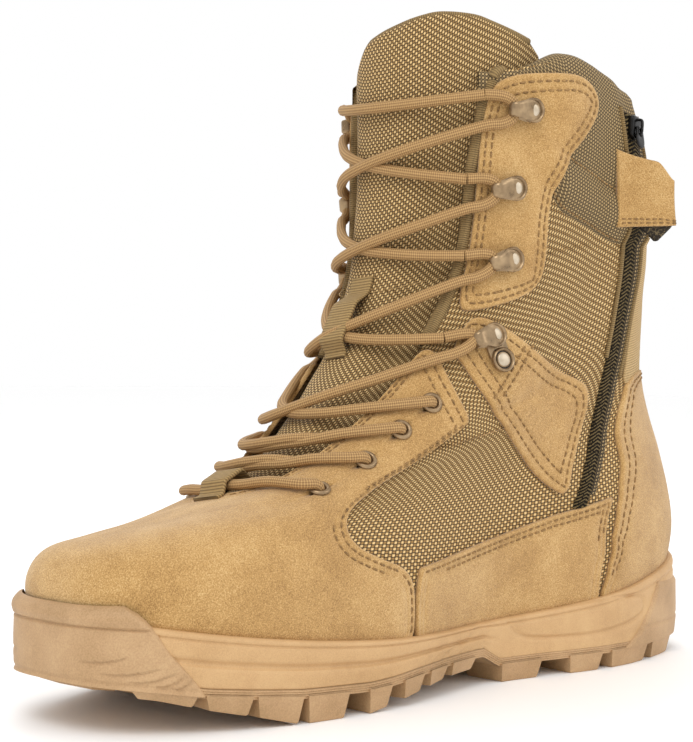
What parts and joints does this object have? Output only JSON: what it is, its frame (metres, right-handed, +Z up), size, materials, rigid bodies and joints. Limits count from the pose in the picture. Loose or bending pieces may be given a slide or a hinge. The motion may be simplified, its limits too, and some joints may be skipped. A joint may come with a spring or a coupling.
{
  "type": "combat boot",
  "caption": "High laced boot with a padded collar, a lug sole with a rubber toe bumper, speed hooks and a side zip whose pull tab swings; right foot, standing empty.",
  "frame": {"origin": "on the floor, under the middle of the boot's box", "axes": "+X from the toe to the heel along the boot, +Y to the lateral side, +Z up; the zip side, the medial side, faces -Y"},
  "size_m": [0.3108, 0.1202, 0.2426],
  "materials": {
    "suede": "rough-out suede",
    "nylon": "ballistic basket weave",
    "rubber": "matt moulded",
    "foam_rubber": "matt moulded foam",
    "lining": "matt knitted lining",
    "bronze": "satin bronze coat",
    "cord": "braided",
    "webbing": "ribbed woven",
    "zip_cord": "woven tape and coil",
    "black_metal": "satin black enamel"
  },
  "bodies": {
    "boot": {"upper": "nylon", "vamp": "suede", "side_strip_medial": "suede", "ankle_strap_medial": "suede", "hook_panel_medial": "suede", "side_strip_lateral": "suede", "ankle_strap_lateral": "suede", "hook_panel_lateral": "suede", "heel_counter": "suede", "midsole": "foam_rubber", "outsole": "rubber", "insole": "lining", "tongue": "nylon", "eyelet_medial_1": "bronze", "eyelet_medial_2": "bronze", "eyelet_medial_3": "bronze", "eyelet_medial_4": "bronze", "eyelet_lateral_1": "bronze", "eyelet_lateral_2": "bronze", "eyelet_lateral_3": "bronze", "eyelet_lateral_4": "bronze", "lock_hook_medial": "bronze", "speed_hook_medial_1": "bronze", "speed_hook_medial_2": "bronze", "speed_hook_medial_3": "bronze", "lock_hook_lateral": "bronze", "speed_hook_lateral_1": "bronze", "speed_hook_lateral_2": "bronze", "speed_hook_lateral_3": "bronze", "lace_cross_1": "cord", "lace_cross_2": "cord", "lace_cross_3": "cord", "lace_cross_4": "cord", "lace_cross_5": "cord", "lace_cross_6": "cord", "lace_first_bar": "cord", "lace_top_bar": "cord", "tongue_keeper": "webbing", "throat_keeper": "webbing", "zip_chain": "zip_cord", "zip_slider": "black_metal", "zip_flap": "suede"},
    "pull": {"zip_pull": "black_metal"}
  },
  "joints": [
    {"name": "pull_swing", "type": "hinge", "parent": "boot", "child": "pull", "pos_m": [0.08091, -0.05118, 0.20596], "axis": [-0.9653, -0.1711, 0.1971], "range_deg": [-5, 150]}
  ]
}
